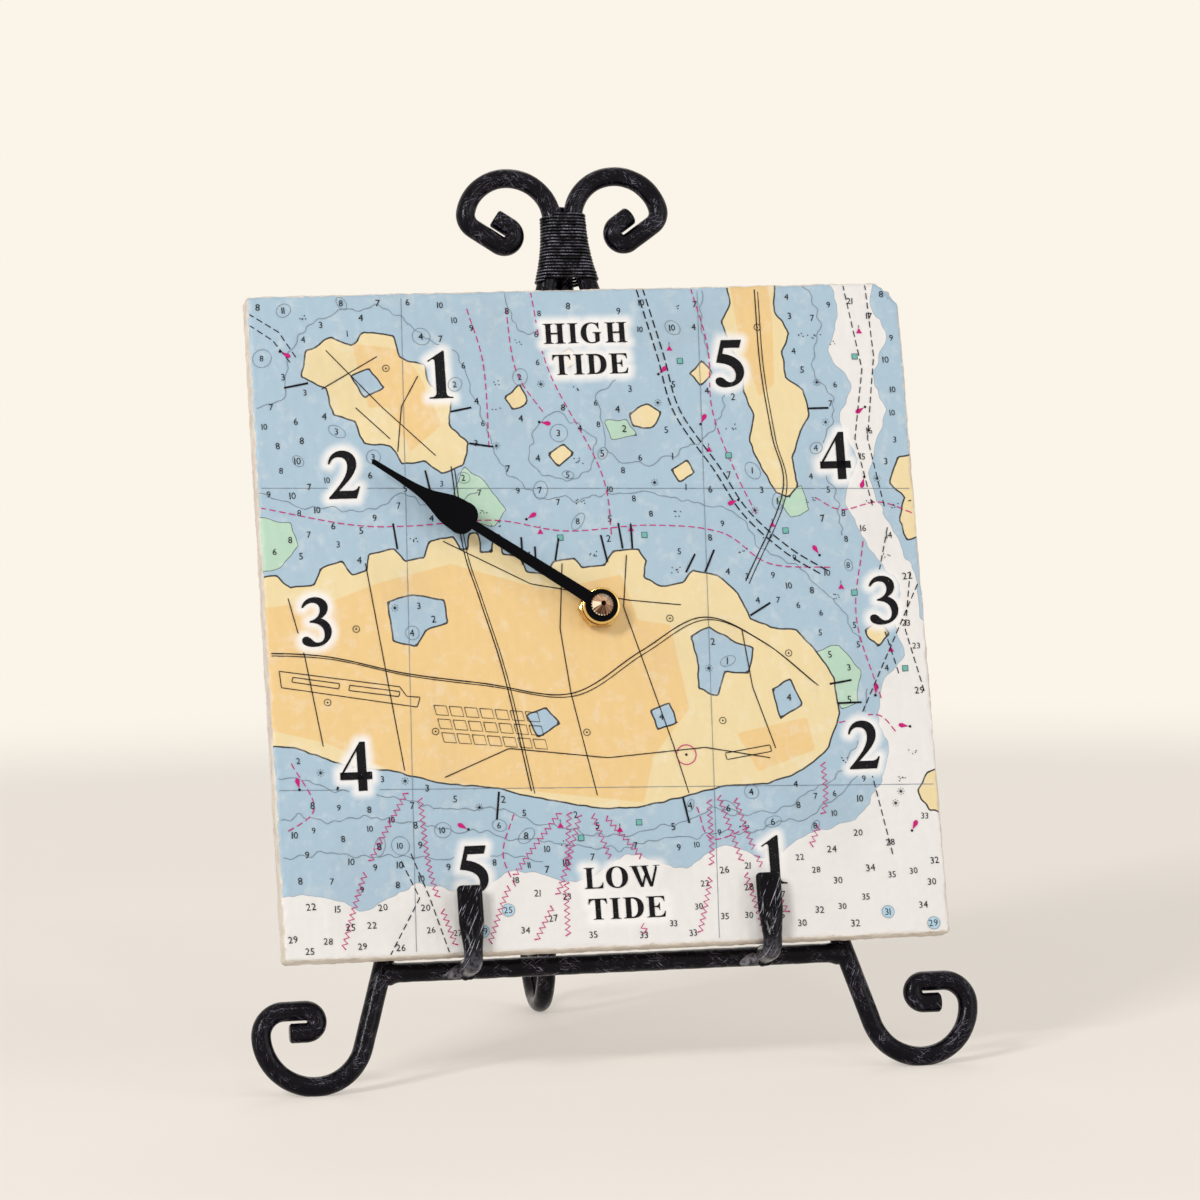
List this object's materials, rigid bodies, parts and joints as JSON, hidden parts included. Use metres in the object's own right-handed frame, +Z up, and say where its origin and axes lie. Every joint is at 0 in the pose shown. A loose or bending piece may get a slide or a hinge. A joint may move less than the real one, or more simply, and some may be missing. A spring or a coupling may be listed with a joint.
{
  "type": "tide clock",
  "caption": "Square printed stone dial with one long hand and a battery tide movement, resting on the hooks of a scrolled wrought-iron easel bound with wire.",
  "frame": {"origin": "on the ground under the middle of the clock's width and depth", "axes": "+Z up; the dial faces -Y and leans back; +X is to the right seen from the front"},
  "size_m": [0.2224, 0.1648, 0.2726],
  "materials": {
    "forged_iron": "near-black hammered iron with worn silver scratches",
    "steel_wire": "dark annealed iron wire",
    "printed_stone": "tumbled stone with a matte printed chart in pale blue, tan and white",
    "brass": "satin turned brass",
    "black_hand": "matte black lacquer",
    "black_plastic": "matte moulded plastic",
    "gear_plastic": "white acetal",
    "gasket_rubber": "soft black rubber",
    "stator_steel": "bare soft iron",
    "magnet": "sintered magnet",
    "copper_coil": "enamelled copper wire",
    "board": "green circuit board",
    "crystal_can": "plain metal can",
    "battery_case": "bare battery sleeve",
    "contact_steel": "nickel-plated spring steel",
    "knob_plastic": "fluted dark plastic"
  },
  "bodies": {
    "easel": {"left_leg": "forged_iron", "right_leg": "forged_iron", "rear_leg": "forged_iron", "cross_bar": "forged_iron", "left_hook": "forged_iron", "right_hook": "forged_iron", "wire_binding": "steel_wire", "stone_tile": "printed_stone", "case_gasket": "gasket_rubber", "front_case": "black_plastic", "rear_cover": "black_plastic", "middle_plate": "gear_plastic", "mounting_bushing": "brass", "brass_washer": "brass", "hex_nut": "brass", "stator": "stator_steel", "coil_core": "stator_steel", "motor_coil": "copper_coil", "circuit_board": "board", "quartz_crystal": "crystal_can", "battery": "battery_case", "positive_contact": "contact_steel", "negative_contact": "contact_steel"},
    "tide_hand": {"tide_wheel": "brass", "tide_hand": "black_hand", "hand_collet": "brass", "cap_nut": "brass"},
    "minute_arbor": {"minute_wheel": "gear_plastic", "set_knob": "knob_plastic"},
    "cannon_pinion": {"cannon_pinion": "brass"},
    "centre_arbor": {"centre_wheel": "gear_plastic"},
    "third_arbor": {"third_wheel": "gear_plastic"},
    "seconds_arbor": {"seconds_wheel": "gear_plastic"},
    "intermediate_arbor": {"intermediate_wheel": "gear_plastic"},
    "rotor": {"rotor": "magnet"}
  },
  "joints": [
    {"name": "tide_hand_turn", "type": "hinge", "parent": "easel", "child": "tide_hand", "pos_m": [0, -0.04806, 0.13959], "axis": [0, -0.9622, 0.2723], "continuous": true},
    {"name": "minute_wheel_turn", "type": "hinge", "parent": "easel", "child": "minute_arbor", "pos_m": [-0.012, -0.03459, 0.13578], "axis": [0, -0.9622, 0.2723], "continuous": true},
    {"name": "cannon_pinion_turn", "type": "hinge", "parent": "easel", "child": "cannon_pinion", "pos_m": [0, -0.03459, 0.13578], "axis": [0, -0.9622, 0.2723], "continuous": true},
    {"name": "rotor_turn", "type": "hinge", "parent": "easel", "child": "rotor", "pos_m": [-0.0085, -0.02666, 0.14912], "axis": [0, -0.9622, 0.2723], "continuous": true},
    {"name": "intermediate_wheel_turn", "type": "hinge", "parent": "easel", "child": "intermediate_arbor", "pos_m": [-0.00418, -0.02613, 0.14363], "axis": [0, -0.9622, 0.2723], "continuous": true},
    {"name": "seconds_wheel_turn", "type": "hinge", "parent": "easel", "child": "seconds_arbor", "pos_m": [0.00231, -0.02662, 0.14557], "axis": [0, -0.9622, 0.2723], "continuous": true},
    {"name": "third_wheel_turn", "type": "hinge", "parent": "easel", "child": "third_arbor", "pos_m": [0.00943, -0.02931, 0.13976], "axis": [0, -0.9622, 0.2723], "continuous": true},
    {"name": "centre_wheel_turn", "type": "hinge", "parent": "easel", "child": "centre_arbor", "pos_m": [0, -0.0317, 0.13496], "axis": [0, -0.9622, 0.2723], "continuous": true}
  ],
  "couplings": [
    {"joint": "minute_wheel_turn", "follows": "tide_hand_turn", "ratio": -4.6},
    {"joint": "cannon_pinion_turn", "follows": "tide_hand_turn", "ratio": 12.42},
    {"joint": "intermediate_wheel_turn", "follows": "rotor_turn", "ratio": -0.16667},
    {"joint": "seconds_wheel_turn", "follows": "rotor_turn", "ratio": 0.033333},
    {"joint": "third_wheel_turn", "follows": "rotor_turn", "ratio": -0.0044444},
    {"joint": "centre_wheel_turn", "follows": "rotor_turn", "ratio": 0.00055556}
  ]
}
